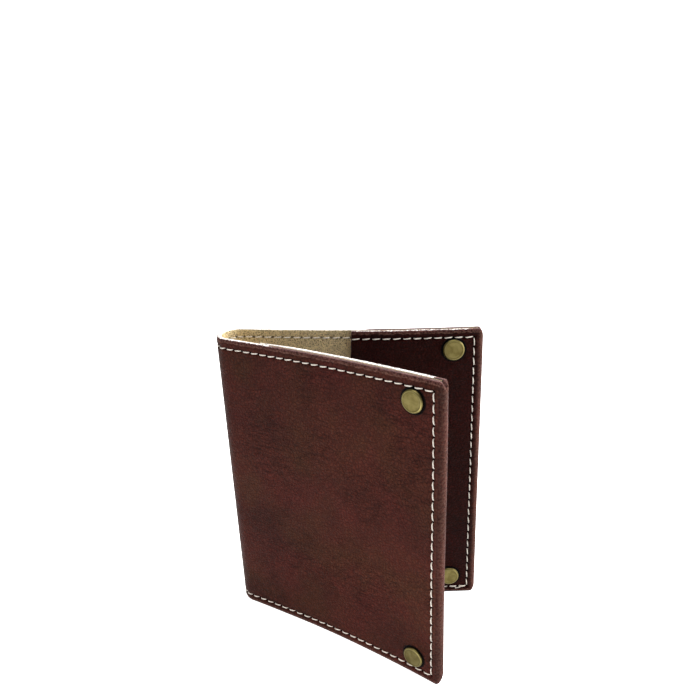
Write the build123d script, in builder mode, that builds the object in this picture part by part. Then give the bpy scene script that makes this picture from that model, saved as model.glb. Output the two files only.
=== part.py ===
from build123d import *
import math
import os

os.makedirs("parts", exist_ok=True)

# the wallet stands on its lower edges, open like a book, +Z up
height = 108.0
coverLength = 83.0  # along the outer face, from the spine to the folded edge
leatherThickness = 1.8
cardGap = 0.25  # what is left between a cover and its pocket
spineRadius = 7.4  # outside of the rounded spine
cornerRadius = 2.4

# the two covers stand apart at the spine, and each bows a little outwards
openingAngle = math.radians(17.8)
frontBow = 0.0022  # radians per millimetre of cover
rearBow = 0.0028

# the free edge of each pocket, measured from the spine
frontPocketTop = 13.0
frontPocketFoot = 13.0
rearPocketTop = 38.5
rearPocketFoot = 32.0

# double-cap rivets at the outer corners, each clear of the stitching beside it
rivetSetback = 2.8  # from the row beside the fold to the cap
rivetGaps = {"front_top": 0.2, "front_bottom": 0.5, "rear_top": 0.2, "rear_bottom": 1.2}
capDiameter = 7.4
capThickness = 1.0
capRim = 0.75  # width of the raised rim
capDish = 0.2  # depth of the flat inside the rim
capClearance = 0.01
postDiameter = 3.0
pinDiameter = 1.9
pinClearance = 0.05

# lockstitch: one row along the top, one along the foot, one beside the fold
stitchPitch = 3.5
stitchLength = 2.5
threadWidth = 0.75
threadHeight = 0.35
threadClearance = 0.01
topMargin = {"front": 3.3, "rear": 2.8}
footMargin = {"front": 2.8, "rear": 2.5}
foldMargin = 3.3

panelThickness = 2 * leatherThickness + cardGap
foldRadius = panelThickness / 2
flatLength = coverLength - foldRadius
bow = {"front": frontBow, "rear": rearBow}
turn = {"front": -1, "rear": 1}  # the front cover swings to -Y, the rear one to +Y
startHeading = {"front": openingAngle, "rear": 0.0}
pocketTop = {"front": frontPocketTop, "rear": rearPocketTop}
pocketFoot = {"front": frontPocketFoot, "rear": rearPocketFoot}
rivetInset = foldMargin + threadWidth / 2 + rivetSetback + capDiameter / 2


# a cover's direction in plan at a distance from the spine, as an angle from +X
def headingAngle(side, along):
    return startHeading[side] + bow[side] * along


def headingVector(side, along):
    angle = headingAngle(side, along)
    return Vector(math.cos(angle), turn[side] * math.sin(angle), 0)


def inwardVector(side, along):
    angle = headingAngle(side, along)
    return Vector(math.sin(angle), -turn[side] * math.cos(angle), 0)


# a point of a cover in plan, about the spine's centre: along its outer face, and in from it
def spinePoint(side, along, depth):
    start = startHeading[side]
    angle = headingAngle(side, along)
    radius = 1 / bow[side]
    x = -spineRadius * math.sin(start) + radius * (math.sin(angle) - math.sin(start))
    y = turn[side] * (spineRadius * math.cos(start) + radius * (math.cos(start) - math.cos(angle)))
    return Vector(x, y, 0) + inwardVector(side, along) * depth


# an outer cap is flat and rests by its rim on the hollow of the bowed cover
def capStandoff(side):
    return capClearance + bow[side] * (capDiameter / 2) ** 2 / 2


# the origin is under the middle of the standing wallet
def middleOfPlan():
    caps = {}
    for side in turn:
        rim = coverLength - rivetInset + capDiameter / 2 - capRim
        caps[side] = spinePoint(side, rim, -capThickness - capStandoff(side))
    folds = {side: spinePoint(side, flatLength, foldRadius) for side in turn}
    left = -spineRadius - threadClearance - threadHeight
    right = max(fold.X for fold in folds.values()) + foldRadius
    near = min(folds["front"].Y - foldRadius, caps["front"].Y)
    far = max(folds["rear"].Y + foldRadius, caps["rear"].Y)
    return Vector((left + right) / 2, (near + far) / 2, 0)


middle = middleOfPlan()
spineCentre = -middle


def coverPoint(side, along, depth, level=0.0):
    return spinePoint(side, along, depth) - middle + Vector(0, 0, level)


# a plane that lies on a cover, its x along the cover, its y upwards
def coverPlane(side, along, depth, level=0.0):
    facing = headingVector(side, along).cross(Vector(0, 0, 1))
    return Plane(
        origin=coverPoint(side, along, depth, level),
        x_dir=headingVector(side, along),
        z_dir=facing,
    )


# plan outline of a bowed layer between two distances and two depths
def layerOutline(side, start, end, shallow, deep):
    half = (start + end) / 2
    ThreePointArc(
        coverPoint(side, start, shallow),
        coverPoint(side, half, shallow),
        coverPoint(side, end, shallow),
    )
    Line(coverPoint(side, end, shallow), coverPoint(side, end, deep))
    ThreePointArc(
        coverPoint(side, end, deep),
        coverPoint(side, half, deep),
        coverPoint(side, start, deep),
    )
    Line(coverPoint(side, start, deep), coverPoint(side, start, shallow))


# distance along the trimming plane, which lies on the cover's folded end
def trimDistance(side, along, depth):
    reach = coverPoint(side, along, depth) - coverPoint(side, coverLength, 0)
    return reach.dot(headingVector(side, coverLength))


# side view of a cover, with an inner edge that may lean
def sideOutline(topStart, footStart):
    Polyline((0, height), (topStart, height), (footStart, 0), (0, 0))
    Line((0, 0), (0, height))


def trimCorners(side, topStart, footStart):
    with BuildSketch(coverPlane(side, coverLength, 0), mode=Mode.PRIVATE) as outline:
        with BuildLine():
            sideOutline(topStart, footStart)
        make_face()
        outerCorners = outline.vertices().group_by(Axis.X)[-1]
        fillet(outerCorners, radius=cornerRadius)
    extrude(outline.sketch, amount=coverLength, both=True, mode=Mode.INTERSECT)


# holes for this cover's two rivets, through every layer
def rivetHoles(side):
    for name in rivetGaps:
        if name.startswith(side):
            plane = coverPlane(side, coverLength - rivetInset, 0, rivetLevel(name))
            with BuildSketch(plane, mode=Mode.PRIVATE) as hole:
                Circle(postDiameter / 2)
            extrude(hole.sketch, amount=2 * panelThickness, both=True, mode=Mode.SUBTRACT)


def rivetLevel(name):
    side, end = name.split("_")
    reach = threadWidth / 2 + rivetGaps[name] + capDiameter / 2
    if end == "top":
        return height - topMargin[side] - reach
    return footMargin[side] + reach


def savePart(part, label):
    part.label = label
    export_step(part, "parts/" + label + ".step")


# the covers, one on each side of the spine
farInside = -2 * coverLength
for side in turn:
    with BuildPart() as cover:
        with BuildSketch(Plane.XY):
            with BuildLine():
                layerOutline(side, 0, flatLength, 0, leatherThickness)
            make_face()
        extrude(amount=height)
        trimCorners(side, farInside, farInside)
        rivetHoles(side)
    savePart(cover.part, side + "_cover_leather")

    # the pocket is the same strip, turned back inside the cover
    pocketStart = min(pocketTop[side], pocketFoot[side])
    topStart = trimDistance(side, pocketTop[side], panelThickness)
    footStart = trimDistance(side, pocketFoot[side], panelThickness)
    with BuildPart() as pocket:
        with BuildSketch(Plane.XY):
            with BuildLine():
                layerOutline(
                    side,
                    pocketStart,
                    flatLength,
                    panelThickness - leatherThickness,
                    panelThickness,
                )
            make_face()
        extrude(amount=height)
        trimCorners(side, topStart, footStart)
        rivetHoles(side)
    savePart(pocket.part, side + "_pocket_leather")

    # the rolled outer edge that joins them
    foldInner = cardGap / 2
    with BuildPart() as fold:
        with BuildSketch(Plane.XY):
            with BuildLine():
                ThreePointArc(
                    coverPoint(side, flatLength, 0),
                    coverPoint(side, flatLength, foldRadius)
                    + headingVector(side, flatLength) * foldRadius,
                    coverPoint(side, flatLength, panelThickness),
                )
                Line(
                    coverPoint(side, flatLength, panelThickness),
                    coverPoint(side, flatLength, foldRadius + foldInner),
                )
                ThreePointArc(
                    coverPoint(side, flatLength, foldRadius + foldInner),
                    coverPoint(side, flatLength, foldRadius)
                    + headingVector(side, flatLength) * foldInner,
                    coverPoint(side, flatLength, foldRadius - foldInner),
                )
                Line(
                    coverPoint(side, flatLength, foldRadius - foldInner),
                    coverPoint(side, flatLength, 0),
                )
            make_face()
        extrude(amount=height)
        trimCorners(side, farInside, farInside)
    savePart(fold.part, side + "_edge_fold")


# a point of the spine in plan, its angle running from the rear cover round to the front one
def spineArcPoint(radius, angle):
    return spineCentre + Vector(radius * math.cos(angle), radius * math.sin(angle), 0)


# plan outline of a piece of the spine between two radii
def spineOutline(inner, outer, start, end):
    half = (start + end) / 2
    ThreePointArc(
        spineArcPoint(outer, start),
        spineArcPoint(outer, half),
        spineArcPoint(outer, end),
    )
    Line(spineArcPoint(outer, end), spineArcPoint(inner, end))
    ThreePointArc(
        spineArcPoint(inner, end),
        spineArcPoint(inner, half),
        spineArcPoint(inner, start),
    )
    Line(spineArcPoint(inner, start), spineArcPoint(outer, start))


spineStart = math.pi / 2
spineEnd = 3 * math.pi / 2 - openingAngle
with BuildPart() as spine:
    with BuildSketch(Plane.XY):
        with BuildLine():
            spineOutline(spineRadius - leatherThickness, spineRadius, spineStart, spineEnd)
        make_face()
    extrude(amount=height)
savePart(spine.part, "spine_leather")


# where the stitches of a row start, spread evenly over its length
def stitchStarts(start, end):
    count = round((end - start) / stitchPitch)
    pitch = (end - start) / count
    return [start + pitch * (number + 0.5) - stitchLength / 2 for number in range(count)]


# a plan outline for each stitch of the rows along the top and the foot
def coverStitches(side, outside):
    for start in stitchStarts(0, coverLength - foldMargin):
        end = start + stitchLength
        deep = -threadClearance
        if not outside:
            onPocket = start > pocketTop[side] and start > pocketFoot[side]
            layer = panelThickness if onPocket else leatherThickness
            deep = layer + threadClearance + threadHeight
            if not onPocket and end > min(pocketTop[side], pocketFoot[side]):
                continue
        with BuildLine(mode=Mode.PRIVATE) as outline:
            layerOutline(side, start, end, deep - threadHeight, deep)
        make_face(outline.edges())


for side in turn:
    for face in ("outer", "inner"):
        outside = face == "outer"
        with BuildPart() as stitching:
            for level in (footMargin[side], height - topMargin[side]):
                with BuildSketch(Plane.XY.offset(level - threadWidth / 2)):
                    coverStitches(side, outside)
            extrude(amount=threadWidth)
            depth = -threadClearance if outside else panelThickness + threadClearance
            rowPlane = coverPlane(side, coverLength - foldMargin, depth)
            with BuildSketch(rowPlane):
                for start in stitchStarts(footMargin[side], height - topMargin[side]):
                    with Locations((0, start + stitchLength / 2)):
                        Rectangle(threadWidth, stitchLength)
            # the row's plane faces -Y, which is outwards on the front cover only
            outwards = 1 if (side == "front") == outside else -1
            extrude(amount=threadHeight * outwards)
        savePart(stitching.part, side + "_stitching_" + face)

# the rows go on round the spine, inside and out, midway between the levels of the covers' rows
spineStitches = round((spineEnd - spineStart) * spineRadius / stitchPitch)
spinePitch = (spineEnd - spineStart) / spineStitches
spineFill = spinePitch * stitchLength / stitchPitch
spineFoot = (footMargin["front"] + footMargin["rear"]) / 2
spineTop = height - (topMargin["front"] + topMargin["rear"]) / 2
outerThread = spineRadius + threadClearance
innerThread = spineRadius - leatherThickness - threadClearance - threadHeight
with BuildPart() as spineStitching:
    for level in (spineFoot, spineTop):
        with BuildSketch(Plane.XY.offset(level - threadWidth / 2)):
            for number in range(spineStitches):
                start = spineStart + spinePitch * (number + 0.5) - spineFill / 2
                for radius in (outerThread, innerThread):
                    with BuildLine():
                        spineOutline(radius, radius + threadHeight, start, start + spineFill)
                    make_face()
    extrude(amount=threadWidth)
savePart(spineStitching.part, "spine_stitching")


# half section of a rivet cap, outwards from its underside, about the rivet's own axis
def capOutline():
    radius = capDiameter / 2
    dishRadius = radius - capRim
    Polyline(
        (0, 0),
        (radius, 0),
        (radius, capThickness / 2),
        (dishRadius + capRim / 2, capThickness),
        (dishRadius, capThickness - capDish),
        (0, capThickness - capDish),
        (0, 0),
    )


# a plane through a rivet's axis: x along the cover, y out of the face that the cap sits on
def rivetPlane(name, outside):
    side = name.split("_")[0]
    along = coverLength - rivetInset
    depth = -capStandoff(side) if outside else panelThickness + capClearance
    away = inwardVector(side, along) * (-1 if outside else 1)
    return Plane(
        origin=coverPoint(side, along, depth, rivetLevel(name)),
        x_dir=headingVector(side, along),
        z_dir=headingVector(side, along).cross(away),
    )


postRadius = postDiameter / 2 - pinClearance
boreRadius = pinDiameter / 2 + pinClearance
for name in rivetGaps:
    capGap = panelThickness + capClearance + capStandoff(name.split("_")[0])
    postReach = capGap - pinClearance
    pinReach = postReach - pinClearance

    # outer half: a cap with a hollow post through the leather
    plane = rivetPlane(name, True)
    axis = Axis(plane.origin, plane.y_dir)
    with BuildPart() as cap:
        with BuildSketch(plane):
            with BuildLine():
                capOutline()
            make_face()
            with BuildLine():
                Polyline(
                    (boreRadius, 0),
                    (postRadius, 0),
                    (postRadius, -postReach),
                    (boreRadius, -postReach),
                    (boreRadius, 0),
                )
            make_face()
        revolve(axis=axis)
    savePart(cap.part, name + "_rivet_cap")

    # inner half: a cap with the pin that is set into the post
    plane = rivetPlane(name, False)
    axis = Axis(plane.origin, plane.y_dir)
    with BuildPart() as stud:
        with BuildSketch(plane):
            with BuildLine():
                capOutline()
            make_face()
            with BuildLine():
                Polyline(
                    (0, 0),
                    (pinDiameter / 2, 0),
                    (pinDiameter / 2, -pinReach),
                    (0, -pinReach),
                    (0, 0),
                )
            make_face()
        revolve(axis=axis)
    savePart(stud.part, name + "_rivet_stud")

# the covers swing about an upright axis on the outside of the spine
hingeAngle = (spineStart + spineEnd) / 2
hinge = spineArcPoint(spineRadius, hingeAngle)
print("hinge axis at", round(hinge.X, 3), round(hinge.Y, 3))
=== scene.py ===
import math
import random

import bmesh
import bpy
import numpy as np
from mathutils import Matrix, Vector


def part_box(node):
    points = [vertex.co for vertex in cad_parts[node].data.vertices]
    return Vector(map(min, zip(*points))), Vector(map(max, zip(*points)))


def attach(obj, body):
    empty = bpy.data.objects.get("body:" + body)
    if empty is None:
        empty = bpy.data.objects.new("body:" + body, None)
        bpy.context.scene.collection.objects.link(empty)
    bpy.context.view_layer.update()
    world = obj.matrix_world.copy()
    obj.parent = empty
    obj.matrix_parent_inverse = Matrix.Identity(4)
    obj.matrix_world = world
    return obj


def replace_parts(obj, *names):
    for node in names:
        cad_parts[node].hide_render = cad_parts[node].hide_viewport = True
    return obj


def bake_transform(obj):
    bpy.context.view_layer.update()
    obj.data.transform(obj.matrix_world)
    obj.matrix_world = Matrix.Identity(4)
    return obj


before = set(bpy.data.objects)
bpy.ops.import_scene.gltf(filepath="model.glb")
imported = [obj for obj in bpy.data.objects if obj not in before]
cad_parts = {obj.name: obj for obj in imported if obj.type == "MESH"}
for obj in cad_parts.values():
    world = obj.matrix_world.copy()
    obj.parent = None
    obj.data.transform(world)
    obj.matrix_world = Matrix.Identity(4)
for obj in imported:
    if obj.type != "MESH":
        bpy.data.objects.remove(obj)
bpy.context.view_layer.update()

mm = 0.001

# the wallet's own sizes in millimetres, the same as the CAD model's
wallet = {
    "leatherThickness": 1.8,
    "cardGap": 0.25,
    "spineRadius": 7.4,
    "coverLength": 83.0,
    # a rounded corner: how far round the fold it starts, how much it takes off, and where it is deepest
    "topCorner": {"reach": 2.3, "cut": 2.4, "deepest": {"front": 90, "rear": 90}},
    "footCorner": {"reach": 3.3, "cut": 2.6, "deepest": {"front": 65, "rear": 105}},
    "openingAngle": math.radians(17.8),
    "bow": {"front": 0.0022, "rear": 0.0028},
    "turn": {"front": -1, "rear": 1},
    "pocketTop": {"front": 13.0, "rear": 38.5},
    "pocketFoot": {"front": 13.0, "rear": 32.0},
    "topMargin": {"front": 3.3, "rear": 2.8},
    "footMargin": {"front": 2.8, "rear": 2.5},
    "foldMargin": 3.3,
    "stitchPitch": 3.5,
    "threadWidth": 0.75,
}
spineLow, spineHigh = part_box("spine_leather")
spineRadius = wallet["spineRadius"]
spineCentre = (spineLow.x / mm + spineRadius, spineHigh.y / mm - spineRadius)
height = spineHigh.z / mm
coverLength = wallet["coverLength"]
panelThickness = 2 * wallet["leatherThickness"] + wallet["cardGap"]
foldRadius = panelThickness / 2
flatLength = coverLength - foldRadius
rowEnd = coverLength - wallet["foldMargin"]  # the row beside the fold
spineStart = math.pi / 2
spineEnd = 1.5 * math.pi - wallet["openingAngle"]
sides = ("rear", "front")
bodies = {"rear": "rear_half", "front": "front_half"}


def smoothStep(low, high, value):
    share = np.clip((value - low) / (high - low), 0.0, 1.0)
    return share * share * (3.0 - 2.0 * share)


def headingOf(side, along):
    start = wallet["openingAngle"] if side == "front" else 0.0
    return start + wallet["bow"][side] * along


def alongVector(side, along):
    angle = headingOf(side, along)
    return np.stack([np.cos(angle), wallet["turn"][side] * np.sin(angle)], axis=-1)


def inwardVector(side, along):
    angle = headingOf(side, along)
    return np.stack([np.sin(angle), -wallet["turn"][side] * np.cos(angle)], axis=-1)


# a point of a cover in plan: along its outer face from the spine, and in from that face
def coverPlace(side, along, depth):
    along = np.asarray(along, float)
    turn = wallet["turn"][side]
    start = headingOf(side, 0.0)
    angle = headingOf(side, along)
    radius = 1.0 / wallet["bow"][side]
    x = spineCentre[0] - spineRadius * math.sin(start) + radius * (np.sin(angle) - math.sin(start))
    y = spineCentre[1] + turn * (spineRadius * math.cos(start) + radius * (math.cos(start) - np.cos(angle)))
    return np.stack([x, y], axis=-1) + inwardVector(side, along) * np.asarray(depth, float)[..., None]


def pitchOf(length):
    return length / round(length / wallet["stitchPitch"])


rowPitch = pitchOf(rowEnd)
upPitch = {side: pitchOf(height - wallet["topMargin"][side] - wallet["footMargin"][side]) for side in sides}
spineSpan = spineEnd - spineStart
spinePitch = spineSpan / round(spineSpan * spineRadius / wallet["stitchPitch"])


def rivetPlaces(side):
    places = {}
    for end in ("top", "bottom"):
        low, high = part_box(side + "_" + end + "_rivet_cap")
        places[end] = (low.z + high.z) / 2 / mm
    return places


rivet = {"diameter": 7.4, "setback": 2.8}
rivetAlong = rowEnd - wallet["threadWidth"] / 2 - rivet["setback"] - rivet["diameter"] / 2
rivetLevels = {side: rivetPlaces(side) for side in sides}


def linear(red, green, blue):
    def one(value):
        value = value / 255.0
        return value / 12.92 if value <= 0.04045 else ((value + 0.055) / 1.055) ** 2.4
    return (one(red), one(green), one(blue), 1.0)


def newGroup(name, inputs, outputs):
    group = bpy.data.node_groups.new(name, "ShaderNodeTree")
    for label, kind, value in inputs:
        socket = group.interface.new_socket(name=label, in_out="INPUT", socket_type=kind)
        if value is not None:
            socket.default_value = value
    for label, kind in outputs:
        group.interface.new_socket(name=label, in_out="OUTPUT", socket_type=kind)
    return group, group.nodes.new("NodeGroupInput"), group.nodes.new("NodeGroupOutput")


def addNoise(tree, vector, scale, detail=4.0, rough=0.55, distort=0.0):
    noise = tree.nodes.new("ShaderNodeTexNoise")
    noise.inputs["Detail"].default_value = detail
    noise.inputs["Roughness"].default_value = rough
    noise.inputs["Distortion"].default_value = distort
    if isinstance(scale, (int, float)):
        noise.inputs["Scale"].default_value = scale
    else:
        tree.links.new(scale, noise.inputs["Scale"])
    tree.links.new(vector, noise.inputs["Vector"])
    return noise.outputs["Fac"]


def addMath(tree, kind, first, second=None, third=None, clamp=False):
    node = tree.nodes.new("ShaderNodeMath")
    node.operation = kind
    node.use_clamp = clamp
    for socket, value in zip(node.inputs, (first, second, third)):
        if value is None:
            continue
        if isinstance(value, (int, float)):
            socket.default_value = value
        else:
            tree.links.new(value, socket)
    return node.outputs[0]


def addRange(tree, value, low, high, toLow=0.0, toHigh=1.0):
    node = tree.nodes.new("ShaderNodeMapRange")
    node.interpolation_type = "SMOOTHSTEP"
    tree.links.new(value, node.inputs["Value"])
    node.inputs["From Min"].default_value = low
    node.inputs["From Max"].default_value = high
    node.inputs["To Min"].default_value = toLow
    node.inputs["To Max"].default_value = toHigh
    return node.outputs["Result"]


def addMix(tree, factor, first, second, blend="MIX"):
    node = tree.nodes.new("ShaderNodeMix")
    node.data_type = "RGBA"
    node.blend_type = blend
    for socket, value in ((node.inputs[0], factor), (node.inputs[6], first), (node.inputs[7], second)):
        if isinstance(value, (int, float, tuple)):
            socket.default_value = value
        else:
            tree.links.new(value, socket)
    return node.outputs[2]


# pebbled grain with pores and fine creases, on a vector in millimetres
def buildGrainGroup():
    tree, entry, leave = newGroup(
        "LeatherGrain",
        [
            ("Vector", "NodeSocketVector", None),
            ("Pebble Size", "NodeSocketFloat", 1.0),
            ("Crease", "NodeSocketFloat", 0.5),
        ],
        [("Height", "NodeSocketFloat"), ("Tone", "NodeSocketFloat")],
    )
    scale = addMath(tree, "DIVIDE", 1.0, entry.outputs["Pebble Size"])
    warp = tree.nodes.new("ShaderNodeTexNoise")
    warp.inputs["Scale"].default_value = 0.7
    warp.inputs["Detail"].default_value = 3.0
    tree.links.new(entry.outputs["Vector"], warp.inputs["Vector"])
    bend = tree.nodes.new("ShaderNodeVectorMath")
    bend.operation = "MULTIPLY_ADD"
    tree.links.new(warp.outputs["Color"], bend.inputs[0])
    bend.inputs[1].default_value = (1.6, 1.6, 1.6)
    tree.links.new(entry.outputs["Vector"], bend.inputs[2])
    cells = tree.nodes.new("ShaderNodeTexVoronoi")
    cells.feature = "DISTANCE_TO_EDGE"
    tree.links.new(bend.outputs[0], cells.inputs["Vector"])
    tree.links.new(scale, cells.inputs["Scale"])
    pebble = addRange(tree, cells.outputs["Distance"], 0.0, 0.3)
    fine = addNoise(tree, entry.outputs["Vector"], 1.5, 6.0, 0.7)
    fineTone = addRange(tree, fine, 0.32, 0.68)
    stretch = tree.nodes.new("ShaderNodeMapping")
    stretch.inputs["Scale"].default_value = (0.13, 0.5, 1.0)
    stretch.inputs["Rotation"].default_value = (0.0, 0.0, 0.3)
    tree.links.new(entry.outputs["Vector"], stretch.inputs["Vector"])
    creases = addNoise(tree, stretch.outputs[0], 1.0, 5.0, 0.6, 0.9)
    sharp = addMath(tree, "ABSOLUTE", addMath(tree, "SUBTRACT", creases, 0.5))
    crease = addRange(tree, sharp, 0.0, 0.035)
    where = addRange(tree, addNoise(tree, entry.outputs["Vector"], 0.05, 3.0), 0.4, 0.62)
    creaseDepth = addMath(tree, "MULTIPLY", where, entry.outputs["Crease"])
    creaseLine = addMath(tree, "SUBTRACT", 1.0, crease)
    creaseShare = addMath(tree, "MULTIPLY", creaseLine, creaseDepth)
    halfFine = addMath(tree, "MULTIPLY", fineTone, 0.5)
    body = addMath(tree, "MULTIPLY_ADD", pebble, 0.5, halfFine)
    tree.links.new(addMath(tree, "SUBTRACT", body, creaseShare), leave.inputs["Height"])
    faint = addMath(tree, "MULTIPLY", creaseShare, 0.5)
    tree.links.new(addMath(tree, "SUBTRACT", body, faint, clamp=True), leave.inputs["Tone"])
    return tree


# soft cloudy variation: a broad one and a fine one, given apart
def buildMottleGroup():
    tree, entry, leave = newGroup(
        "DyeMottle",
        [
            ("Vector", "NodeSocketVector", None),
            ("Broad Size", "NodeSocketFloat", 22.0),
            ("Fine Size", "NodeSocketFloat", 1.2),
        ],
        [("Mask", "NodeSocketFloat"), ("Fine", "NodeSocketFloat")],
    )
    place = entry.outputs["Vector"]
    broadScale = addMath(tree, "DIVIDE", 1.0, entry.outputs["Broad Size"])
    broad = addNoise(tree, place, broadScale, 6.0, 0.6, 0.4)
    fineScale = addMath(tree, "DIVIDE", 1.0, entry.outputs["Fine Size"])
    fine = addNoise(tree, place, fineScale, 4.0, 0.65)
    tree.links.new(addRange(tree, broad, 0.3, 0.7), leave.inputs["Mask"])
    tree.links.new(fine, leave.inputs["Fine"])
    return tree


def startMaterial(name):
    material = bpy.data.materials.new(name)
    material.use_nodes = True
    tree = material.node_tree
    shader = tree.nodes["Principled BSDF"]
    place = tree.nodes.new("ShaderNodeAttribute")
    place.attribute_name = "place"
    return material, tree, shader, place.outputs["Vector"]


def addGroup(tree, group, vector, **values):
    node = tree.nodes.new("ShaderNodeGroup")
    node.node_tree = group
    tree.links.new(vector, node.inputs["Vector"])
    for name, value in values.items():
        node.inputs[name.replace("_", " ")].default_value = value
    return node.outputs


def addAttribute(tree, name):
    node = tree.nodes.new("ShaderNodeAttribute")
    node.attribute_name = name
    return node.outputs["Fac"]


def addBump(tree, shader, heightSocket, strength, distance):
    bump = tree.nodes.new("ShaderNodeBump")
    bump.inputs["Strength"].default_value = strength
    bump.inputs["Distance"].default_value = distance
    tree.links.new(heightSocket, bump.inputs["Height"])
    tree.links.new(bump.outputs["Normal"], shader.inputs["Normal"])


grainGroup = buildGrainGroup()
mottleGroup = buildMottleGroup()

leatherLook = {
    "dark": linear(57, 25, 19),
    "mid": linear(70, 32, 24),
    "olive": linear(66, 41, 24),
    "red": linear(78, 30, 27),
    "valley": (0.46, 0.44, 0.44, 1.0),
    "peak": (1.42, 1.39, 1.37, 1.0),
    "pocketShade": (0.42, 0.19, 0.17, 1.0),  # painted shade: the insides of the pockets are darkened against the outside
    "bevelHighlight": 0.85,
    # rubbed colour, also used for a painted highlight and sheen
    "rubbed": linear(120, 85, 74),
    # painted shade: near black for needle holes, the gap between layers and the ring round a rivet
    "hole": linear(8, 4, 4),
    "suedeDark": linear(80, 50, 24),
    "suede": linear(255, 230, 176),
    "edge": linear(110, 72, 66),
    "edgeDark": linear(46, 22, 22),
    "core": linear(253, 250, 244),
    "coreDark": linear(158, 130, 114),
    "rivetShadeRing": 0.95,  # width of the ring of painted shade round a rivet, in millimetres
}


def buildLeatherMaterial():
    material, tree, shader, place = startMaterial("brownLeather")
    grain = addGroup(tree, grainGroup, place, Pebble_Size=1.25, Crease=0.65)
    mottle = addGroup(tree, mottleGroup, place, Broad_Size=24.0, Fine_Size=2.2)
    cloudy = addMix(tree, mottle["Mask"], leatherLook["dark"], leatherLook["mid"])
    oliveShare = addRange(tree, addNoise(tree, place, 0.045, 4.0), 0.4, 0.7, 0.0, 0.5)
    olive = addMix(tree, oliveShare, cloudy, leatherLook["olive"])
    redShare = addRange(tree, addNoise(tree, place, 0.06, 3.0, 0.5, 0.5), 0.4, 0.72, 0.0, 0.4)
    tinted = addMix(tree, redShare, olive, leatherLook["red"])
    toning = addMix(tree, grain["Tone"], leatherLook["valley"], leatherLook["peak"])
    lined = addMix(tree, 1.0, tinted, toning, "MULTIPLY")
    # painted shade: a darker colour inside the pockets
    pocketShadeColour = addMix(tree, 1.0, lined, leatherLook["pocketShade"], "MULTIPLY")
    withPocketShade = addMix(tree, addAttribute(tree, "pocket"), lined, pocketShadeColour)

    # rubbed wear with painted sheen along the folded edge, and a painted highlight in a wavy line where the
    # cut edge is bevelled
    scuffs = addNoise(tree, place, 1.2, 5.0, 0.75)
    patchy = addRange(tree, scuffs, 0.38, 0.6, 0.15, 1.0)
    waver = addRange(tree, addNoise(tree, place, 0.8, 3.0), 0.25, 0.75, -0.3, 0.3)
    fromEdge = addMath(tree, "ADD", addAttribute(tree, "edgeGap"), waver)
    bevelHighlight = addMath(
        tree,
        "MULTIPLY",
        addRange(tree, fromEdge, 0.6, 0.85),
        addRange(tree, fromEdge, 1.35, 1.0, 0.0, leatherLook["bevelHighlight"]),
    )
    rubbedAndHighlight = addMath(tree, "MAXIMUM", addAttribute(tree, "wear"), bevelHighlight)
    wear = addMath(tree, "MULTIPLY", rubbedAndHighlight, patchy, clamp=True)
    wornAndHighlit = addMix(tree, wear, withPocketShade, leatherLook["rubbed"])
    tuft = addRange(tree, scuffs, 0.4, 0.6)
    frayed = addMix(tree, tuft, leatherLook["edgeDark"], leatherLook["edge"])
    bevelShare = addRange(tree, fromEdge, 0.85, 0.5, 0.0, 0.8)
    bevelled = addMix(tree, bevelShare, wornAndHighlit, frayed)

    # painted shade: the needle holes are darkened to near black
    needle = addRange(tree, addAttribute(tree, "hole"), 0.3, 0.75)
    # painted shade: a dark ring round each rivet where the cap meets the leather
    ringAt = rivet["diameter"] / 2 + leatherLook["rivetShadeRing"]
    ring = addRange(tree, addAttribute(tree, "rivetGap"), ringAt, ringAt - 0.5)
    dark = addMath(tree, "MAXIMUM", needle, ring)
    tree.links.new(addMix(tree, dark, bevelled, leatherLook["hole"]), shader.inputs["Base Color"])
    tree.links.new(addRange(tree, mottle["Fine"], 0.2, 0.8, 0.42, 0.62), shader.inputs["Roughness"])
    shader.inputs["Specular IOR Level"].default_value = 0.05
    addBump(tree, shader, grain["Height"], 0.9, 0.0003)
    return material


def buildSuedeMaterial():
    material, tree, shader, place = startMaterial("suedeFlesh")
    mottle = addGroup(tree, mottleGroup, place, Broad_Size=3.0, Fine_Size=0.7)
    nap = addNoise(tree, place, 2.3, 4.0, 0.75, 0.4)
    napMask = addRange(tree, nap, 0.39, 0.485)
    base = addMix(tree, napMask, leatherLook["suedeDark"], leatherLook["suede"])
    shade = addRange(tree, mottle["Mask"], 0.0, 1.0, 0.0, 0.22)
    cloudy = addMix(tree, shade, base, leatherLook["suedeDark"])
    # painted shade: needle holes and the furrows of the rows are darkened
    needle = addRange(tree, addAttribute(tree, "hole"), 0.3, 0.9, 0.0, 0.8)
    tree.links.new(addMix(tree, needle, cloudy, leatherLook["hole"]), shader.inputs["Base Color"])
    shader.inputs["Roughness"].default_value = 0.95
    shader.inputs["Specular IOR Level"].default_value = 0.15
    shader.inputs["Sheen Weight"].default_value = 0.2
    rough = addMath(tree, "ADD", nap, addMath(tree, "MULTIPLY", mottle["Fine"], 0.6))
    addBump(tree, shader, rough, 1.0, 0.001)
    return material


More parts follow.
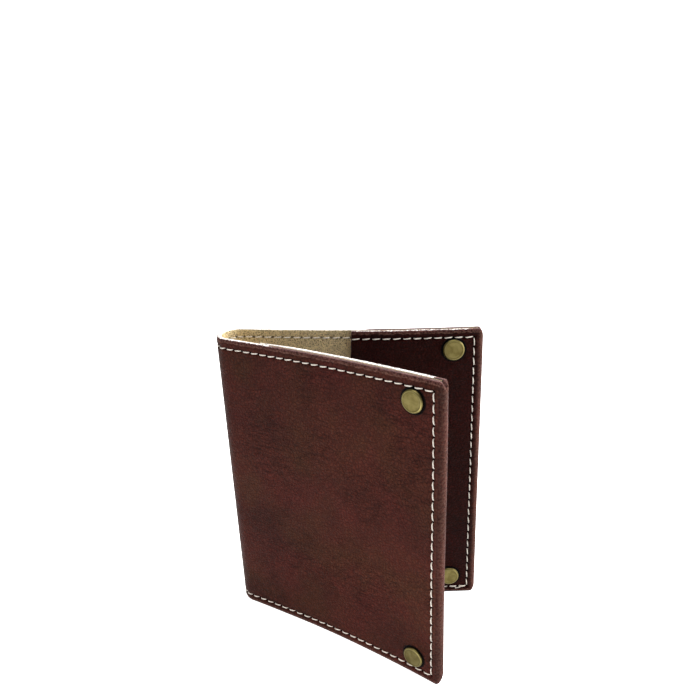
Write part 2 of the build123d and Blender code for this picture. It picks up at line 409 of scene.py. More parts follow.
def buildEdgeMaterial():
    material, tree, shader, place = startMaterial("cutEdge")
    mottle = addGroup(tree, mottleGroup, place, Broad_Size=3.5, Fine_Size=0.8)
    fleck = addRange(tree, mottle["Fine"], 0.35, 0.62)
    stain = addMix(tree, fleck, leatherLook["edgeDark"], leatherLook["edge"])
    fray = addRange(tree, addNoise(tree, place, 1.6, 4.0, 0.7), 0.32, 0.68, -0.32, 0.32)
    across = addMath(tree, "ADD", addAttribute(tree, "across"), fray)
    where = addMath(tree, "ADD", addAttribute(tree, "core"), fray)
    outer = addRange(tree, across, 0.2, 0.3)
    inner = addRange(tree, across, 1.12, 0.98)
    torn = addMath(tree, "MULTIPLY", outer, inner)
    core = addMath(tree, "MULTIPLY", torn, addRange(tree, where, 0.4, 0.6))
    bright = addRange(tree, mottle["Fine"], 0.34, 0.50)
    fibre = addMix(tree, bright, leatherLook["coreDark"], leatherLook["core"])
    # painted shade: a dark line along the gap between the two layers of the cut edge
    gapShade = addRange(tree, addAttribute(tree, "across"), 0.7, 0.95, 0.0, 0.9)
    stainAndGapShade = addMix(tree, gapShade, stain, leatherLook["hole"])
    tree.links.new(addMix(tree, core, stainAndGapShade, fibre), shader.inputs["Base Color"])
    shader.inputs["Roughness"].default_value = 0.75
    shader.inputs["Specular IOR Level"].default_value = 0.25
    addBump(tree, shader, mottle["Fine"], 0.8, 0.0004)
    return material


threadLook = {"light": linear(250, 244, 234), "dark": linear(196, 180, 160), "dusty": linear(160, 134, 100)}


def buildThreadMaterial():
    material, tree, shader, place = startMaterial("creamThread")
    mottle = addGroup(tree, mottleGroup, place, Broad_Size=3.0, Fine_Size=0.3)
    groove = addAttribute(tree, "groove")
    fibreShare = addRange(tree, mottle["Fine"], 0.3, 0.7, 0.0, 0.4)
    fibre = addMix(tree, fibreShare, threadLook["light"], threadLook["dark"])
    # painted shade: the grooves between the plies are darkened
    twisted = addMix(tree, groove, fibre, threadLook["dark"])
    colour = addMix(tree, addAttribute(tree, "dust"), twisted, threadLook["dusty"])
    tree.links.new(colour, shader.inputs["Base Color"])
    shader.inputs["Roughness"].default_value = 0.65
    shader.inputs["Sheen Weight"].default_value = 0.2
    addBump(tree, shader, mottle["Fine"], 0.4, 0.00006)
    return material


brassLook = {"light": linear(120, 110, 68), "dark": linear(90, 80, 44), "patina": linear(30, 22, 12)}


def buildBrassMaterial():
    material, tree, shader, place = startMaterial("antiqueBrass")
    mottle = addGroup(tree, mottleGroup, place, Broad_Size=3.2, Fine_Size=0.35)
    base = addMix(tree, mottle["Mask"], brassLook["dark"], brassLook["light"])
    rubbed = addMix(tree, addAttribute(tree, "wear"), base, brassLook["light"])
    patches = addRange(tree, mottle["Fine"], 0.2, 0.6, 0.4, 1.0)
    # patina in the grooves, and painted shade round the foot of the cap where it meets the leather
    patinaAndShade = addMath(tree, "MULTIPLY", addAttribute(tree, "groove"), patches)
    tree.links.new(addMix(tree, patinaAndShade, rubbed, brassLook["patina"]), shader.inputs["Base Color"])
    shader.inputs["Metallic"].default_value = 1.0
    tree.links.new(addRange(tree, mottle["Fine"], 0.2, 0.8, 0.3, 0.5), shader.inputs["Roughness"])
    addBump(tree, shader, mottle["Fine"], 0.25, 0.00003)
    return material


materials = {
    "grain": buildLeatherMaterial(),
    "suede": buildSuedeMaterial(),
    "edge": buildEdgeMaterial(),
    "thread": buildThreadMaterial(),
    "brass": buildBrassMaterial(),
}
print("materials ready")


def addObject(name, points, faces, faceMaterials, materialList, attributes):
    mesh = bpy.data.meshes.new(name)
    mesh.from_pydata((np.asarray(points) * mm).tolist(), [], faces)
    mesh.validate()
    for material in materialList:
        mesh.materials.append(material)
    mesh.polygons.foreach_set("material_index", faceMaterials)
    mesh.polygons.foreach_set("use_smooth", [True] * len(mesh.polygons))
    for label, values in attributes.items():
        values = np.asarray(values, np.float32)
        if values.ndim == 2:
            mesh.attributes.new(label, "FLOAT_VECTOR", "POINT").data.foreach_set("vector", values.ravel())
        else:
            mesh.attributes.new(label, "FLOAT", "POINT").data.foreach_set("value", values)
    mesh.update()
    thing = bpy.data.objects.new(name, mesh)
    bpy.context.scene.collection.objects.link(thing)
    return thing


leather = {
    "edgeRound": 0.3,  # how far the grain side is bevelled off at a cut edge
    "roundReach": 1.0,
    "cornerRound": 1.6,  # extra share of that bevel at a rounded corner
    "rowFade": (0.2, 0.8),  # a row's channel ends this far beyond its last stitch
    "coreEnd": (5.5, 4.0),  # from the outer edge, where the pale core of the cut edge stops
    "cornerFade": 8.0,  # over this height the rows close up to make room for a rounded corner
    "channelDepth": 0.16,
    "channelWidth": 0.6,
    "furrow": 0.5,
    "pared": {"front": 0.45, "rear": 0.85},
    "paredLength": 16.0,
    "coreShare": {"front": 1.0, "rear": 0.45},
    "holeDepth": 0.5,
    "holeRadius": 0.55,
    "rivetPress": 0.12,
    "pressReach": 5.6,
    "farFromRivet": 12.0,
    "wave": 0.22,
    "stepsPerStitch": 4,
    "foldSteps": 16,
    # rubbed wear and painted sheen from the last row round the fold
    "foldWearAndSheen": 0.36,
    "leadLength": 8.0,
    "fleshPlace": 40.0,  # keeps the suede's pattern apart from the grain's
    "acrossSteps": (0.14, 0.32, 0.5, 0.68, 0.86),
}


# heights of the rows of points, packed closer beside the stitching
def rowHeights(side):
    foot = wallet["footMargin"][side]
    top = wallet["topMargin"][side]
    share = np.array([0.0, 0.1, 0.22, 0.4, 0.6, 0.8, 0.92])
    step = upPitch[side] / leather["stepsPerStitch"]
    count = round((height - top - foot) / step)
    middle = foot + step * np.arange(0, count + 1)
    middle = np.insert(middle, 1, foot + step / 2)
    middle = np.insert(middle, -1, height - top - step / 2)
    start = leather["edgeRound"] * 0.5
    below = start + (foot - start) * share
    above = height - (start + (top - start) * share[::-1])
    return np.concatenate([below, middle, above])


rows = {side: rowHeights(side) for side in sides}
rowCount = len(rows["rear"])


# the first column of a pocket that stands upright; the leaning free edge leads up to it
def pocketStart(side):
    return max(wallet["pocketTop"][side], wallet["pocketFoot"][side]) + leather["leadLength"]


def coverSteps(start):
    step = rowPitch / leather["stepsPerStitch"]
    steps = np.arange(0, round(rowEnd / step) + 1) * step
    steps = np.concatenate([steps[:-1], [rowEnd - step / 2, rowEnd], np.linspace(rowEnd, flatLength, 4)[1:]])
    return steps[steps >= start - 0.001]


# every column of the strip: what it belongs to, which side, and where along it
def stripColumns():
    columns = []
    for side in sides:
        pocket = [("pocket", side, at) for at in coverSteps(pocketStart(side))]
        lead = [("lead", side, share) for share in np.linspace(0.0, 1.0, 12)[:-1]]
        fold = [("fold", side, angle) for angle in np.linspace(0.0, math.pi, leather["foldSteps"] + 1)[1:-1]]
        cover = [("cover", side, at) for at in coverSteps(0.0)[::-1]]
        columns.append(lead + pocket + fold + cover)
    spineSteps = round(spineSpan / spinePitch) * leather["stepsPerStitch"]
    spine = [("spine", "rear", angle) for angle in np.linspace(spineStart, spineEnd, spineSteps + 1)[1:-1]]
    return columns[0] + spine + columns[1][::-1]


def wave(side, along, level):
    fade = smoothStep(0.0, 20.0, along)
    # three ripples of different lengths, crossing each other
    shape = np.sin(along / 13.0 + level / 19.0) + np.sin(along / 9.0 - level / 15.0 + 1.3)
    shape = shape + 0.6 * np.sin(level / 11.0 + along / 23.0 + (0.4 if side == "front" else 2.1))
    return leather["wave"] * fade * shape / 2.6


# how far the stitching and the rivets press the surface in, and how much of a needle hole is there
def pressed(side, along, level, top, foot, pitch, upStep, hasFoldRow):
    near, far = leather["rowFade"]
    inRow = smoothStep(rowEnd + far, rowEnd + near, along)
    topGap = np.abs(level - top)
    footGap = np.abs(level - foot)
    press = np.zeros_like(level)
    hole = np.zeros_like(level)
    rivetGap = np.full_like(level, leather["farFromRivet"])

    def channel(share, gap):
        return share * np.exp(-((gap / leather["channelWidth"]) ** 2)) * leather["channelDepth"]

    def needleHole(share, gap, holeGap):
        return share * np.exp(-((gap ** 2 + holeGap ** 2) / leather["holeRadius"] ** 2))

    phase = along / pitch
    holeGap = np.abs(phase - np.round(phase)) * pitch * (1.0 if hasFoldRow else spineRadius)
    for gap in (topGap, footGap):
        press = np.maximum(press, channel(inRow, gap))
        hole = np.maximum(hole, needleHole(inRow, gap, holeGap))
    if hasFoldRow:
        inUpRow = smoothStep(foot - far, foot - near, level) * smoothStep(top + far, top + near, level)
        gap = np.abs(along - rowEnd)
        upPhase = (level - foot) / upStep
        upGap = np.abs(upPhase - np.round(upPhase)) * upStep
        press = np.maximum(press, channel(inUpRow, gap))
        hole = np.maximum(hole, needleHole(inUpRow, gap, upGap))
    press = press + hole * leather["holeDepth"]
    if hasFoldRow:
        for rivetLevel in rivetLevels[side].values():
            away = np.sqrt((along - rivetAlong) ** 2 + (level - rivetLevel) ** 2)
            inner = rivet["diameter"] / 2
            dent = leather["rivetPress"] * smoothStep(leather["pressReach"], inner - 0.2, away)
            press = np.maximum(press, dent)
            rivetGap = np.minimum(rivetGap, away)
    return press, hole, rivetGap


# how near a column is to the deepest line of a rounded corner, measured round the leather
def cornerShare(corner, kind, side, at):
    deepest = math.radians(corner["deepest"][side])
    away = {
        "fold": foldRadius * abs(deepest - at),
        "pocket": foldRadius * deepest + flatLength - at,
        "cover": foldRadius * (math.pi - deepest) + flatLength - at,
    }.get(kind, coverLength)
    return max(0.0, 1.0 - away / corner["reach"])


# a row's height once the corners are rounded
def roundedLevel(level, footShare, topShare):
    nearFoot = np.clip(1.0 - level / leather["cornerFade"], 0.0, 1.0)
    nearTop = np.clip(1.0 - (height - level) / leather["cornerFade"], 0.0, 1.0)
    footCut = wallet["footCorner"]["cut"] * footShare ** 2
    topCut = wallet["topCorner"]["cut"] * topShare ** 2
    return level + footCut * nearFoot - topCut * nearTop


# how deep a pocket's grain lies: its leather is pared thin towards the free edge
def pocketDepth(side, along, level):
    pared = leather["pared"][side]
    share = pared + (1.0 - pared) * smoothStep(0.0, leather["paredLength"], along - pocketEdge(side, level))
    return panelThickness - wallet["leatherThickness"] * (1.0 - share)


# on the suede a row of stitches lies in a furrow from hole to hole, painted dark as shade
def suedeFurrow(press, hole):
    return np.maximum(hole, leather["furrow"] * np.clip(press / leather["channelDepth"], 0.0, 1.0))


# where the pocket's free edge is at each height, from the spine
def pocketEdge(side, level):
    foot, top = wallet["pocketFoot"][side], wallet["pocketTop"][side]
    return foot + (top - foot) * level / height


leatherSeed = 11
factNames = ("across", "hole", "wear", "core", "pocket", "edgeGap", "rivetGap")


# one closed ring of points round the leather at a column, with what the materials need to know
def stripRing(kind, side, at, rng):
    frontShare = 0.0 if side == "rear" else 1.0
    if kind == "spine":
        frontShare = (at - spineStart) / spineSpan
    level = rows["rear"] * (1.0 - frontShare) + rows["front"] * frontShare
    topMargin, footMargin = wallet["topMargin"], wallet["footMargin"]
    top = height - topMargin["rear"] * (1.0 - frontShare) - topMargin["front"] * frontShare
    foot = footMargin["rear"] * (1.0 - frontShare) + footMargin["front"] * frontShare
    thickness = wallet["leatherThickness"]
    wear = np.zeros(rowCount)
    grainPress, grainHole = np.zeros(rowCount), np.zeros(rowCount)
    fleshPress, fleshHole = np.zeros(rowCount), np.zeros(rowCount)
    rivetGap = np.full(rowCount, leather["farFromRivet"])
    core = np.zeros(rowCount)
    pocketShadeMask = np.zeros(rowCount)
    if kind == "spine":
        normal = np.tile([math.cos(at), math.sin(at)], (rowCount, 1))
        centre = np.array(spineCentre)
        grain = centre + normal * spineRadius
        flesh = centre + normal * (spineRadius - thickness)
        along = np.full(rowCount, at - spineStart)
        grainPress, grainHole, _ = pressed(side, along, level, top, foot, spinePitch, 1.0, False)
        fleshPress, fleshHole = grainPress * 0.5, suedeFurrow(grainPress, grainHole)
        core = np.ones(rowCount)
    elif kind == "fold":
        centre = coverPlace(side, flatLength, foldRadius)
        inward, ahead = inwardVector(side, flatLength), alongVector(side, flatLength)
        normal = np.tile(inward * math.cos(at) + ahead * math.sin(at), (rowCount, 1))
        grain = centre + normal * foldRadius
        flesh = centre + normal * (foldRadius - thickness)
        along = np.full(rowCount, flatLength + foldRadius * math.sin(at))
        # rubbed wear and painted sheen round the fold
        wear = leather["foldWearAndSheen"] * smoothStep(rowEnd, flatLength + foldRadius, along)
        # painted shade on the inner half of the fold, running into the pocket
        pocketShadeMask = np.full(rowCount, smoothStep(0.5, 1.0, at / math.pi))
    else:
        along = np.full(rowCount, float(at))
        if kind == "lead":
            joinAt = coverSteps(pocketStart(side))[0]
            along = pocketEdge(side, level) + (joinAt - pocketEdge(side, level)) * at
        inward = inwardVector(side, along)
        onPocket = kind != "cover"
        pocketShadeMask = np.full(rowCount, 1.0 if onPocket else 0.0)
        # rubbed wear and painted sheen between the last row and the fold
        wear = leather["foldWearAndSheen"] * smoothStep(rowEnd, flatLength + foldRadius, along)
        normal = inward if onPocket else -inward
        if onPocket:
            grain = coverPlace(side, along, pocketDepth(side, along, level))
            flesh = coverPlace(side, along, np.full(rowCount, panelThickness - thickness))
        else:
            grain = coverPlace(side, along, np.zeros(rowCount))
            flesh = grain - normal * thickness
        found = pressed(side, along, level, top, foot, rowPitch, upPitch[side], True)
        grainPress, grainHole, rivetGap = found
        showsFlesh = (not onPocket) & (along < wallet["pocketTop"][side])
        fleshPress = np.where(showsFlesh, grainPress * 0.5, 0.0)
        fleshHole = np.where(showsFlesh, suedeFurrow(grainPress, grainHole), 0.0)
        beyond = along - pocketEdge(side, level)
        if onPocket:
            endNear, endFar = leather["coreEnd"]
            ending = smoothStep(coverLength - endFar, coverLength - endNear, along)
            core = smoothStep(-3.0, 3.0, beyond) * ending * leather["coreShare"][side]
        else:
            core = smoothStep(9.0, 1.0, beyond)

    footShare = cornerShare(wallet["footCorner"], kind, side, at)
    topShare = cornerShare(wallet["topCorner"], kind, side, at)
    edgeGap = np.minimum(level, height - level)
    soft = np.where(level < height / 2, footShare, topShare)
    bevel = np.clip(1.0 - edgeGap / (leather["roundReach"] * (1.0 + soft)), 0.0, 1.0) ** 2
    bevel = bevel * (1.0 + leather["cornerRound"] * soft)
    away = np.zeros((rowCount, 2))
    if kind != "spine":
        away = -inwardVector(side, np.minimum(along, flatLength)) * wave(side, along, level)[:, None]
    fleshRound = 0.1 if kind == "fold" else 0.35
    grain = grain + away - normal * (grainPress + bevel * leather["edgeRound"])[:, None]
    flesh = flesh + away + normal * (fleshPress + bevel * leather["edgeRound"] * fleshRound)[:, None]
    pointLevel = roundedLevel(level, footShare, topShare)
    ring, facts = [], []

    def put(xy, z, row, acrossAt, holeAt):
        ring.append((xy[0], xy[1], z))
        values = (acrossAt, holeAt, wear[row], core[row], pocketShadeMask[row], edgeGap[row], rivetGap[row])
        facts.append(dict(zip(factNames, values)))

    # the cut edge from grain to flesh, a little domed, and rough where the fibres show
    def putEdge(row, shares, sign):
        for share in shares:
            dome = leather["edgeRound"] * 0.5 * math.sin(math.pi * share) ** 0.5
            rough = rng.uniform(-0.05, 0.03) * (1.0 if share > 0.4 else 0.3)
            xy = grain[row] * (1 - share) + flesh[row] * share
            put(xy, pointLevel[row] + sign * (dome + rough), row, share, 0.0)

    for i in range(rowCount):
        put(grain[i], pointLevel[i], i, 0.0, grainHole[i])
    putEdge(-1, leather["acrossSteps"], 1.0)
    for i in range(rowCount - 1, -1, -1):
        put(flesh[i], pointLevel[i], i, 1.0, fleshHole[i])
    putEdge(0, leather["acrossSteps"][::-1], -1.0)
    return ring, facts


def buildLeather():
    rng = random.Random(leatherSeed)
    columns = stripColumns()
    points, places = [], []
    facts = {name: [] for name in factNames}
    length = 0.0
    last = None

    def keep(point, place, fact):
        points.append(point)
        places.append(place)
        for name in factNames:
            facts[name].append(fact[name])

    for kind, side, at in columns:
        ring, ringFacts = stripRing(kind, side, at, rng)
        middle = np.array(ring[rowCount // 2][:2])
        if last is not None:
            length += float(np.linalg.norm(middle - last))
        last = middle
        for point, fact in zip(ring, ringFacts):
            depth = fact["across"] * wallet["leatherThickness"]
            if fact["across"] == 1.0:
                depth = leather["fleshPlace"]
            keep(point, (length, point[2], depth), fact)
    ringSize = len(ring)
    acrossCount = len(leather["acrossSteps"])
    faces, kinds = [], []
    for column in range(len(columns) - 1):
        base, nextBase = column * ringSize, (column + 1) * ringSize
        for i in range(ringSize):
            j = (i + 1) % ringSize
            faces.append((base + i, base + j, nextBase + j, nextBase + i))
            onGrain = i < rowCount - 1
            onFlesh = rowCount + acrossCount <= i < 2 * rowCount + acrossCount - 1
            kinds.append(0 if onGrain else 1 if onFlesh else 2)

    # the two cut ends, each a rough grid across the thickness
    for column in (0, len(columns) - 1):
        side = columns[column][1]
        base = column * ringSize
        direction = -alongVector(side, wallet["pocketTop"][side])
        grid = []
        for row in range(rowCount):
            grainIndex = base + row
            fleshIndex = base + 2 * rowCount + acrossCount - 1 - row
            line = [grainIndex]
            for number, share in enumerate(leather["acrossSteps"]):
                if row == rowCount - 1:
                    line.append(base + rowCount + number)
                elif row == 0:
                    line.append(base + ringSize - 1 - number)
                else:
                    start, end = np.array(points[grainIndex]), np.array(points[fleshIndex])
                    point = start * (1 - share) + end * share
                    bulge = 0.16 * math.sin(math.pi * share) + rng.uniform(-0.06, 0.06)
                    point[:2] += direction * bulge
                    line.append(len(points))
                    depth = share * wallet["leatherThickness"]
                    fact = {name: facts[name][grainIndex] for name in factNames}
                    fact.update({"across": share, "hole": 0.0, "core": 0.3})
                    keep(tuple(point), (places[grainIndex][0] + depth, point[2], depth), fact)
            line.append(fleshIndex)
            grid.append(line)
        for line, above in zip(grid, grid[1:]):
            for step in range(len(line) - 1):
                faces.append((line[step], line[step + 1], above[step + 1], above[step]))
                kinds.append(2)
    surfaces = [materials["grain"], materials["suede"], materials["edge"]]
    return addObject("leather_strip", points, faces, kinds, surfaces, {"place": places, **facts})


def turnFacesOut(thing):
    shape = bmesh.new()
    shape.from_mesh(thing.data)
    bmesh.ops.recalc_face_normals(shape, faces=shape.faces)
    shape.to_mesh(thing.data)
    shape.free()


def bendAcrossSpine(thing):
    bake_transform(thing)


leatherNodes = [side + part for side in sides for part in ("_cover_leather", "_edge_fold", "_pocket_leather")]
strip = buildLeather()
turnFacesOut(strip)
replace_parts(strip, "spine_leather", *leatherNodes)
bendAcrossSpine(strip)
print("leather strip:", len(strip.data.vertices), "points")


thread = {
    "radius": 0.2,
    "flatten": 0.9,
    "reach": 0.41,  # share of the pitch from a stitch's middle to where it dives
    "dive": 0.75,
    "rise": 0.15,
    "slant": 0.13,
    "plies": 3,
    "twist": 1.5,  # turns over one stitch
    "rings": 13,
    "around": 10,
}
backstitch = {"side": "rear", "over": ((0.45, 0.3), (0.95, -0.4), (1.5, 0.32)), "lean": 0.14, "share": 0.95}


class Bundle:
    def __init__(self):
        self.points, self.faces, self.grooves, self.dusts, self.places = [], [], [], [], []


# how a stitch lies: proud on the grain, or pulled down into the suede and thinner
onGrain = {"scale": 1.0, "rise": thread["rise"], "press": 1.0, "dust": 0.0}
onSuede = {"scale": 0.9, "rise": 0.22, "press": 0.5, "dust": 0.0}


# one stitch about a place on the leather: e along the row, n out of the leather, f across the row
def addStitch(bundle, origin, e, n, f, length, rng, lie, curve=0.0):
    slant = thread["slant"] * rng.uniform(0.5, 1.5)
    rise = lie["rise"] * rng.uniform(0.85, 1.15)
    phase = rng.uniform(0.0, 2 * math.pi)
    start = len(bundle.points)
    rings, around = thread["rings"], thread["around"]
    centres = []
    for ring in range(rings):
        share = 2.0 * ring / (rings - 1) - 1.0
        x = share * length * thread["reach"]
        lift = rise - (rise + thread["dive"]) * abs(share) ** 5 - curve * x * x
        side = slant * share
        centres.append(origin + e * x + n * lift + f * side)
    for ring in range(rings):
        share = 2.0 * ring / (rings - 1) - 1.0
        before = centres[max(ring - 1, 0)]
        after = centres[min(ring + 1, rings - 1)]
        tangent = (after - before) / np.linalg.norm(after - before)
        out = n - tangent * float(np.dot(n, tangent))
        out = out / np.linalg.norm(out)
        across = np.cross(tangent, out)
        thin = 1.0 - 0.25 * abs(share) ** 3
        for step in range(around):
            angle = 2 * math.pi * step / around
            ply = math.cos(thread["plies"] * angle - phase - 2 * math.pi * thread["twist"] * share)
            radius = thread["radius"] * lie["scale"] * thin * (1.0 + 0.11 * ply)
            offset = across * math.cos(angle) * radius + out * math.sin(angle) * radius * thread["flatten"]
            bundle.points.append(centres[ring] + offset)
            bundle.grooves.append(max(0.0, -ply) * 0.8)
            bundle.dusts.append(lie["dust"])
            bundle.places.append((share * length * 2 + start * 0.01, angle, 0.0))
    for ring in range(rings - 1):
        for step in range(around):
            a = start + ring * around + step
            b = start + ring * around + (step + 1) % around
            bundle.faces.append((a, b, b + around, a + around))
    bundle.faces.append(tuple(start + step for step in range(around))[::-1])
    last = start + (rings - 1) * around
    bundle.faces.append(tuple(last + step for step in range(around)))


zUp = np.array([0.0, 0.0, 1.0])


def up3(xy, z=0.0):
    return np.array([xy[0], xy[1], z])


# the rows along the top and the foot of a cover, then the row beside the fold
def coverRows(bundle, side, outside, rng):
    top = height - wallet["topMargin"][side]
    foot = wallet["footMargin"][side]
    press = leather["channelDepth"]
    for level in (foot, top):
        slantAt = pocketEdge(side, level)
        for number in range(round(rowEnd / rowPitch)):
            along = (number + 0.5) * rowPitch
            inward = inwardVector(side, along)
            depth, lie = press, onGrain
            if not outside:
                if abs(along - slantAt) < rowPitch * 0.4:
                    continue
                lie = onGrain if along > slantAt else onSuede
                face = pocketDepth(side, along, level) if along > slantAt else wallet["leatherThickness"]
                depth = face - press * lie["press"]
            normal = up3(-inward if outside else inward)
            lift = wave(side, along, level)
            origin = up3(coverPlace(side, along, depth) - inward * lift, level)
            addStitch(bundle, origin, up3(alongVector(side, along)), normal, zUp, rowPitch, rng, lie)
    inward = inwardVector(side, rowEnd)
    for number in range(round((top - foot) / upPitch[side])):
        level = foot + (number + 0.5) * upPitch[side]
        depth = press if outside else panelThickness - press
        normal = up3(-inward if outside else inward)
        lift = wave(side, rowEnd, level)
        origin = up3(coverPlace(side, rowEnd, depth) - inward * lift, level)
        addStitch(bundle, origin, zUp, normal, -up3(alongVector(side, rowEnd)), upPitch[side], rng, onGrain)


# the sewing ends here: the last stitches are gone over twice
def addBackstitch(bundle, side, rng):
    level = wallet["footMargin"][side]
    for number, (stitches, rise) in enumerate(backstitch["over"]):
        along = rowEnd - stitches * rowPitch
        inward = inwardVector(side, along)
        lift = wave(side, along, level)
        origin = up3(coverPlace(side, along, panelThickness) - inward * lift, level + rise)
        ahead = up3(alongVector(side, along)) + zUp * backstitch["lean"] * (1 if number % 2 else -1)
        ahead = ahead / np.linalg.norm(ahead)
        addStitch(bundle, origin, ahead, up3(inward), zUp, rowPitch * backstitch["share"], rng, onGrain)


def spineRows(bundle, rng):
    press = leather["channelDepth"]
    centre = np.array(spineCentre)
    for name, base, sign in (("footMargin", 0.0, 1.0), ("topMargin", height, -1.0)):
        for number in range(round(spineSpan / spinePitch)):
            share = (number + 0.5) * spinePitch / spineSpan
            angle = spineStart + share * spineSpan
            level = base + sign * (wallet[name]["rear"] * (1 - share) + wallet[name]["front"] * share)
            out = np.array([math.cos(angle), math.sin(angle)])
            e = up3((-out[1], out[0]))
            length = spinePitch * spineRadius
            origin = up3(centre + out * (spineRadius - press), level)
            addStitch(bundle, origin, e, up3(out), zUp, length, rng, onGrain, 0.5 / spineRadius)
            inner = spineRadius - wallet["leatherThickness"]
            innerLength = spinePitch * inner
            origin = up3(centre + out * (inner + press * onSuede["press"]), level)
            addStitch(bundle, origin, e, up3(-out), zUp, innerLength, rng, onSuede, -0.5 / inner)


def finishStitches(name, bundle):
    piece = addObject(
        name,
        bundle.points,
        bundle.faces,
        [0] * len(bundle.faces),
        [materials["thread"]],
        {"place": bundle.places, "groove": bundle.grooves, "dust": bundle.dusts},
    )
    turnFacesOut(piece)
    bendAcrossSpine(piece)
    return piece


stitchSeed = {"rear": 21, "front": 22, "spine": 31}
for side in sides:
    for face in ("outer", "inner"):
        bundle = Bundle()
        rng = random.Random(stitchSeed[side] + (100 if face == "inner" else 0))
        coverRows(bundle, side, face == "outer", rng)
        if face == "inner" and side == backstitch["side"]:
            addBackstitch(bundle, side, rng)
        piece = finishStitches(side + "_thread_" + face, bundle)
        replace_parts(piece, side + "_stitching_" + face)
spineBundle = Bundle()
spineRows(spineBundle, random.Random(stitchSeed["spine"]))
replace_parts(finishStitches("spine_thread", spineBundle), "spine_stitching")
print("stitching ready")


# half sections from the leather's surface outwards: radius, height, rim wear, groove patina with painted
# shade at the cap's foot
capSection = [
    (1.45, -0.30, 0.0, 0.5),
    (3.55, -0.32, 0.0, 1.0),
    (3.68, -0.22, 0.0, 1.0),
    (3.70, 0.10, 0.0, 0.9),
    (3.70, 0.35, 0.2, 0.6),
    (3.66, 0.52, 0.5, 0.2),
    (3.57, 0.68, 0.8, 0.0),
    (3.44, 0.81, 1.0, 0.0),
    (3.30, 0.88, 1.0, 0.0),
    (3.16, 0.905, 0.8, 0.0),
    (3.06, 0.895, 0.4, 0.2),
    (2.98, 0.87, 0.0, 0.5),
    (2.90, 0.86, 0.0, 0.3),
    (2.60, 0.865, 0.0, 0.0),
    (2.00, 0.87, 0.0, 0.0),
    (1.20, 0.875, 0.0, 0.0),
    (0.0, 0.88, 0.0, 0.0),
]
hollowPost = [(0.0, -0.10, 0.0, 0.0), (1.0, -0.10, 0.0, 0.0), (1.0, -3.80, 0.0, 0.0), (1.45, -3.80, 0.0, 0.0)]
solidPin = [(0.0, -3.70, 0.0, 0.0), (0.85, -3.70, 0.0, 0.0), (0.95, -3.60, 0.0, 0.0), (0.95, -0.30, 0.0, 0.0)]
latheSteps = 56


def turnRivet(name, section, origin, out, sideways):
    points, faces, wears, grooves, places = [], [], [], [], []
    third = np.cross(out, sideways)
    for radius, lift, wear, groove in section:
        for step in range(latheSteps if radius > 0 else 1):
            angle = 2 * math.pi * step / latheSteps
            point = origin + out * lift + (sideways * math.cos(angle) + third * math.sin(angle)) * radius
            points.append(point)
            wears.append(wear)
            grooves.append(groove)
            u, v = radius * math.cos(angle) + origin[2], radius * math.sin(angle) + origin[0]
            places.append((u, v, lift))
    index = 0
    for (radius, *_), (nextRadius, *_) in zip(section, section[1:]):
        count = latheSteps if radius > 0 else 1
        nextIndex = index + count
        for step in range(latheSteps):
            after = (step + 1) % latheSteps
            if radius == 0:
                faces.append((index, nextIndex + step, nextIndex + after))
            elif nextRadius == 0:
                faces.append((index + step, index + after, nextIndex))
            else:
                faces.append((index + step, index + after, nextIndex + after, nextIndex + step))
        index = nextIndex
    facts = {"place": places, "wear": wears, "groove": grooves}
    piece = addObject(name, points, faces, [0] * len(faces), [materials["brass"]], facts)
    turnFacesOut(piece)
    return piece


for side in sides:
    for end, level in rivetLevels[side].items():
        lift = wave(side, rivetAlong, level)
        inward = inwardVector(side, rivetAlong)
        sideways = up3(alongVector(side, rivetAlong))
        halves = (("cap", 0.0, -inward, hollowPost), ("stud", panelThickness, inward, solidPin))
        for part, depth, out, inner in halves:
            origin = up3(coverPlace(side, rivetAlong, depth) - inward * lift, level)
            name = side + "_" + end + "_" + part + "_brass"
            piece = turnRivet(name, inner + capSection, origin, up3(out), sideways)
            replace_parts(piece, side + "_" + end + "_rivet_" + part)
            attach(piece, bodies[side])
print("rivets ready")


stage = {
    "floor": (0.8, 0.8, 0.8, 1.0),
    "floorGlow": 0.9,  # only what the camera sees, to keep the floor as pale as the backdrop
    "floorSheen": 0.4,  # what the leather and the brass see of that glow
    "floorSize": 6.0,
    "world": 0.26,
    "backdrop": 1.2,
    "key": {"place": (-1.0, -0.6, 0.3), "size": 0.8, "power": 1.8},
    "low": {"place": (-0.015, -0.125, 0.006), "size": 0.08, "power": 0.16},
    "top": {"place": (0.0, -0.05, 0.8), "size": 0.5, "power": 4.2},
    "rim": {"place": (0.7, 0.25, 0.35), "size": 0.5, "power": 15.0},
    "back": {"place": (-0.1, 0.9, 0.6), "size": 0.8, "power": 12.0},
}


def buildFloor():
    half = stage["floorSize"] / 2
    mesh = bpy.data.meshes.new("floor")
    corners = [(-half, -half, 0), (half, -half, 0), (half, half, 0), (-half, half, 0)]
    mesh.from_pydata(corners, [], [(0, 1, 2, 3)])
    floor = bpy.data.objects.new("floor", mesh)
    bpy.context.scene.collection.objects.link(floor)
    material = bpy.data.materials.new("paleFloor")
    material.use_nodes = True
    tree = material.node_tree
    shader = tree.nodes["Principled BSDF"]
    shader.inputs["Base Color"].default_value = stage["floor"]
    shader.inputs["Roughness"].default_value = 0.9
    shader.inputs["Specular IOR Level"].default_value = 0.1
    shader.inputs["Emission Color"].default_value = (1.0, 1.0, 1.0, 1.0)
    path = tree.nodes.new("ShaderNodeLightPath")
    seen = addMath(tree, "MULTIPLY", path.outputs["Is Camera Ray"], stage["floorGlow"])
    mirrored = addMath(tree, "MULTIPLY", path.outputs["Is Glossy Ray"], stage["floorSheen"])
    glow = addMath(tree, "MAXIMUM", seen, mirrored)
    tree.links.new(glow, shader.inputs["Emission Strength"])
    mesh.materials.append(material)


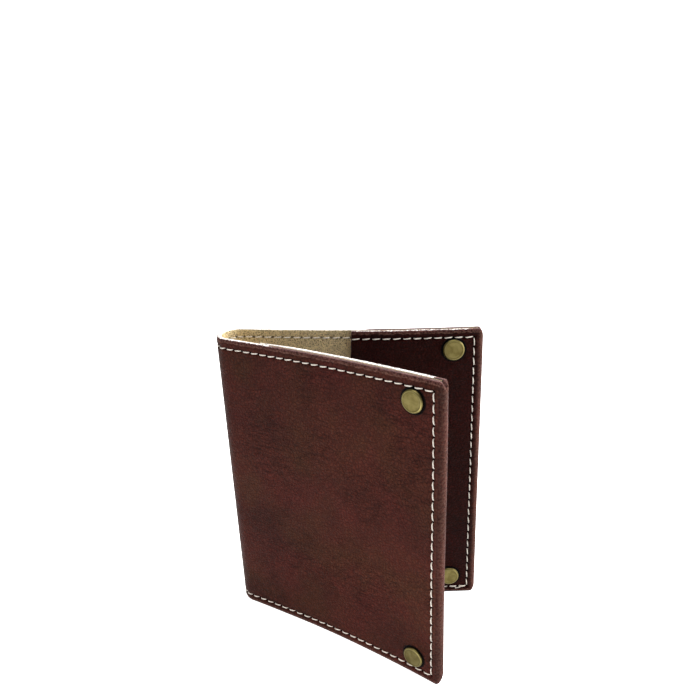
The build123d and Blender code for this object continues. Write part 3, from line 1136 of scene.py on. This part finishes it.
def addLight(name, settings, target):
    data = bpy.data.lights.new(name, "AREA")
    data.shape = "SQUARE"
    data.size = settings["size"]
    data.energy = settings["power"]
    lamp = bpy.data.objects.new(name, data)
    bpy.context.scene.collection.objects.link(lamp)
    lamp.visible_camera = False
    lamp.location = settings["place"]
    lamp.rotation_euler = (Vector(target) - Vector(settings["place"])).to_track_quat("-Z", "Y").to_euler()


def buildWorld():
    world = bpy.data.worlds.new("studio")
    world.use_nodes = True
    tree = world.node_tree
    background = tree.nodes["Background"]
    background.inputs["Color"].default_value = (1.0, 1.0, 1.0, 1.0)
    path = tree.nodes.new("ShaderNodeLightPath")
    level = tree.nodes.new("ShaderNodeMapRange")
    tree.links.new(path.outputs["Is Camera Ray"], level.inputs["Value"])
    level.inputs["To Min"].default_value = stage["world"]
    level.inputs["To Max"].default_value = stage["backdrop"]
    tree.links.new(level.outputs["Result"], background.inputs["Strength"])
    bpy.context.scene.world = world


# the camera stands a little above the wallet and looks down at it
camera = {
    "fromSpine": (88.7, -217.7, 177.2),
    "yaw": -12.96,
    "pitch": 22.8,
    "roll": -2.34,
    "lens": 35.93,
    "shift": 0.0786,
}


def buildCamera():
    yaw, pitch, roll = (math.radians(camera[name]) for name in ("yaw", "pitch", "roll"))
    ahead = Vector((math.sin(yaw) * math.cos(pitch), math.cos(yaw) * math.cos(pitch), -math.sin(pitch)))
    level = Vector((math.cos(yaw), -math.sin(yaw), 0.0))
    rise = level.cross(ahead)
    right = level * math.cos(roll) + rise * math.sin(roll)
    up = rise * math.cos(roll) - level * math.sin(roll)
    data = bpy.data.cameras.new("camera")
    data.lens = camera["lens"]
    data.sensor_width = 36.0
    data.shift_y = camera["shift"]
    data.clip_start = 0.01
    eye = bpy.data.objects.new("camera", data)
    bpy.context.scene.collection.objects.link(eye)
    turn = Matrix((right, up, -ahead)).transposed().to_4x4()
    x, y, z = camera["fromSpine"]
    turn.translation = Vector(((x + spineCentre[0]) * mm, (y + spineCentre[1]) * mm, z * mm))
    eye.matrix_world = turn
    bpy.context.scene.camera = eye


buildFloor()
buildWorld()
target = (0.0, 0.0, height / 2 * mm)
for name in ("key", "low", "top", "rim", "back"):
    addLight(name, stage[name], target)
buildCamera()
bpy.context.scene.view_settings.view_transform = "Standard"
bpy.context.scene.view_settings.look = "None"
print("stage ready")
